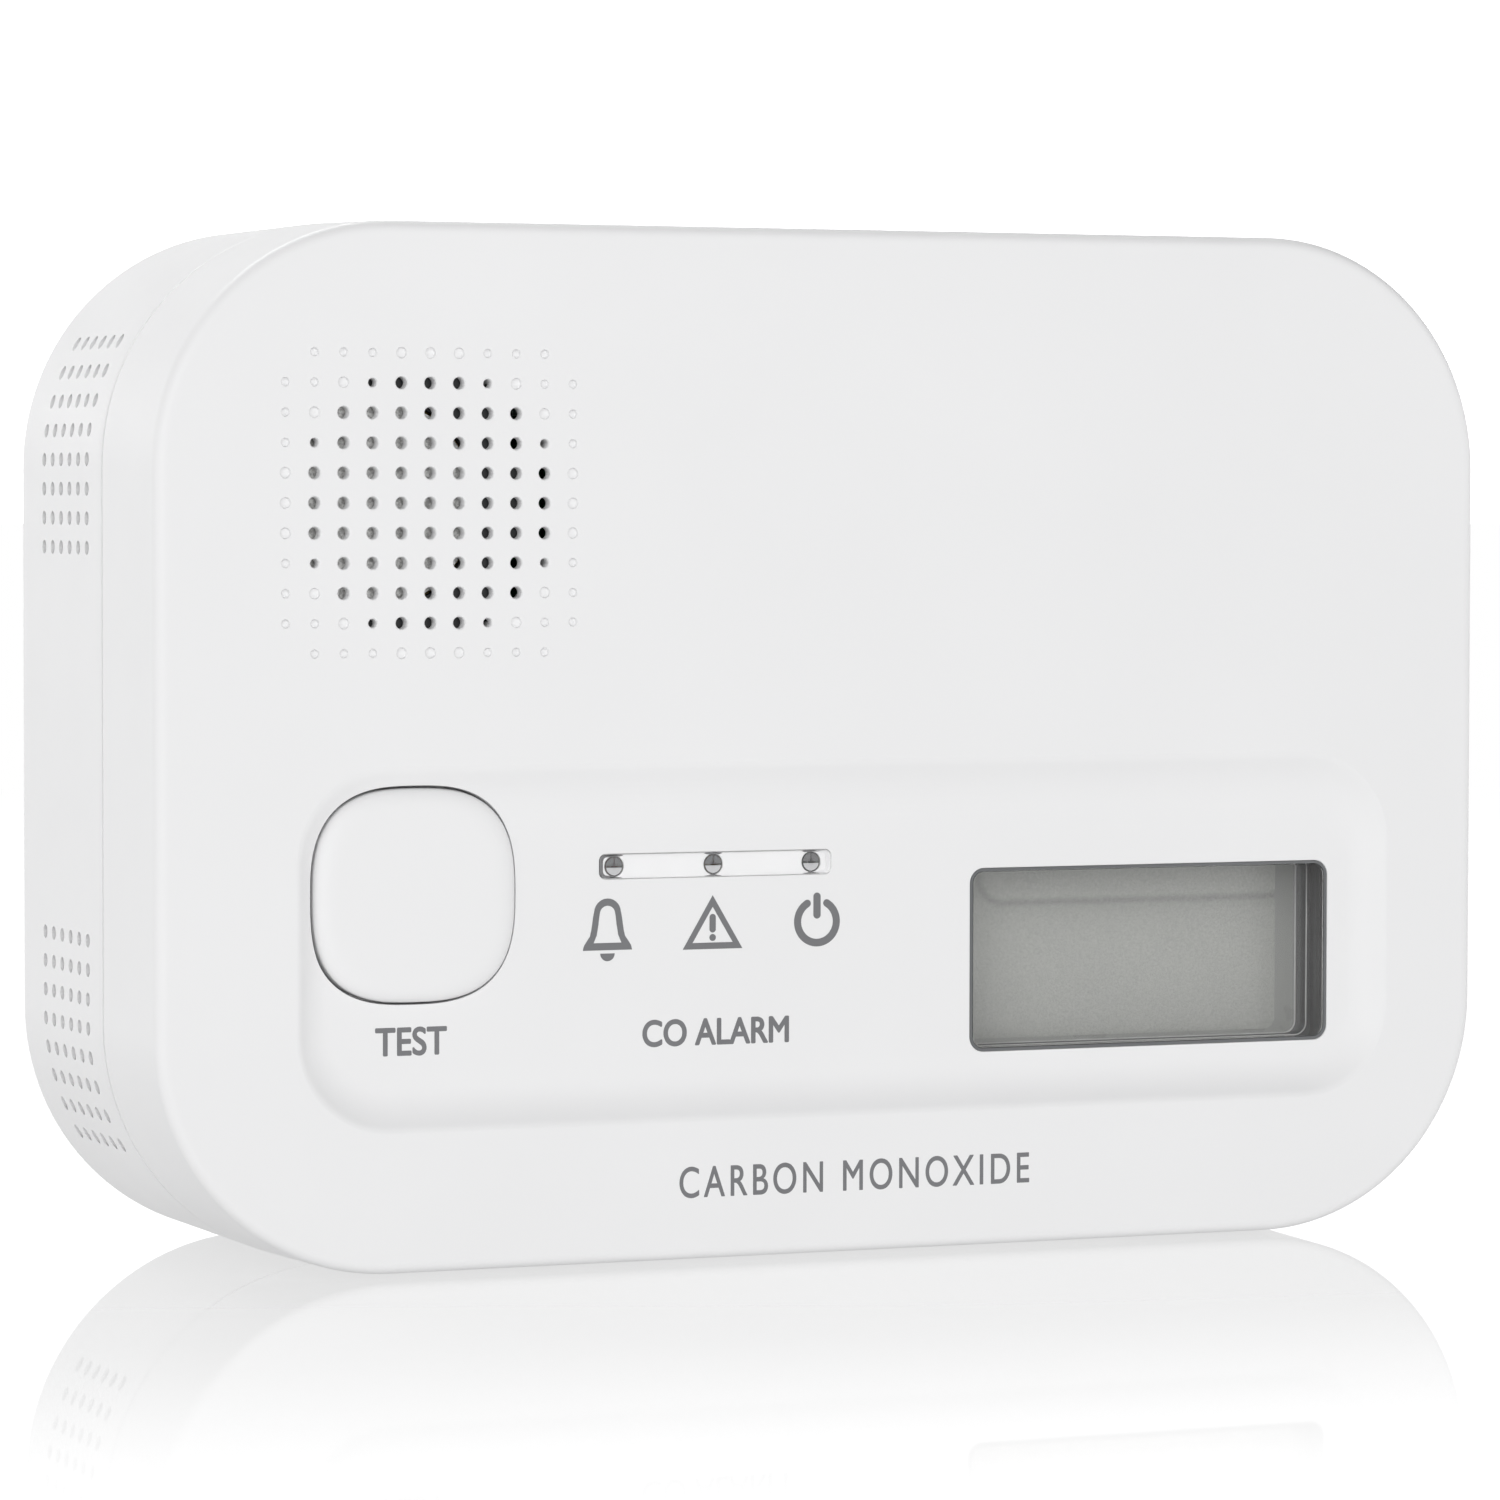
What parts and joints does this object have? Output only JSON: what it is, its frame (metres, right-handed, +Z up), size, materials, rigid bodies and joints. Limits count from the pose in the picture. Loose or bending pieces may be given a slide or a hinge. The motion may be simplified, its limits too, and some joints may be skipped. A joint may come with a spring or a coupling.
{
  "type": "carbon monoxide alarm",
  "caption": "Free-standing or wall-hung carbon monoxide alarm with rounded case, sounder grille, test button, indicator lights, display, side vents and hinged battery door.",
  "frame": {"origin": "middle of the footprint at the flat underside that the case stands on", "axes": "+Z up, +X to the right as seen from the front, +Y from the front face to the back"},
  "size_m": [0.124, 0.038, 0.0886],
  "materials": {
    "case_plastic": "white moulded ABS with a very fine spark texture, satin",
    "clear_plastic": "clear polished polycarbonate",
    "display_glass": "reflective liquid crystal glass, grey, switched off",
    "dark_plastic": "black moulded plastic, satin",
    "board": "green solder-resist over glass-fibre laminate",
    "steel": "nickel-plated steel, bright",
    "brass": "plain sheet brass",
    "ceramic": "silvered piezo ceramic, fine grain",
    "rubber": "silicone rubber strip",
    "red_lens": "tinted epoxy",
    "amber_lens": "tinted epoxy",
    "green_lens": "tinted epoxy",
    "filter": "white porous membrane",
    "cell_wrap": "plain printed metallic film on the cell, gloss",
    "printed_ink": "mid-grey pad-printed ink"
  },
  "bodies": {
    "case": {"front_cover": "case_plastic", "rear_cover": "case_plastic", "switch_body": "dark_plastic", "light_pipe": "clear_plastic", "alarm_led": "red_lens", "fault_led": "amber_lens", "power_led": "green_lens", "display_window": "clear_plastic", "display_holder": "dark_plastic", "display_panel": "display_glass", "display_connector": "rubber", "circuit_board": "board", "microcontroller": "dark_plastic", "crystal": "steel", "horn_coil": "dark_plastic", "capacitor": "dark_plastic", "horn_housing": "dark_plastic", "piezo_plate": "brass", "piezo_ceramic": "ceramic", "horn_retainer": "dark_plastic", "sensor_body": "dark_plastic", "sensor_cap": "steel", "sensor_filter": "filter", "cell_upper": "cell_wrap", "cell_lower": "cell_wrap", "contact_bridge": "steel", "contact_negative": "steel", "contact_positive": "steel", "case_screw_1": "steel", "case_screw_2": "steel", "case_screw_3": "steel", "case_screw_4": "steel", "board_screw_1": "steel", "board_screw_2": "steel", "board_screw_3": "steel", "board_screw_4": "steel"},
    "button": {"test_button": "case_plastic"},
    "plunger": {"switch_plunger": "dark_plastic"},
    "door": {"battery_door": "case_plastic"}
  },
  "joints": [
    {"name": "button_press", "type": "slide", "parent": "case", "child": "button", "axis": [0, 1, 0], "range_m": [0, 0.0005], "stiffness_N_per_m": 1500},
    {"name": "plunger_press", "type": "slide", "parent": "case", "child": "plunger", "axis": [0, 1, 0], "range_m": [0, 0.0005]},
    {"name": "door_hinge", "type": "hinge", "parent": "case", "child": "door", "pos_m": [0.0323, 0.0179, 0.03], "axis": [0, 0, -1], "range_deg": [0, 100]}
  ],
  "couplings": [
    {"joint": "plunger_press", "follows": "button_press", "ratio": 1}
  ]
}
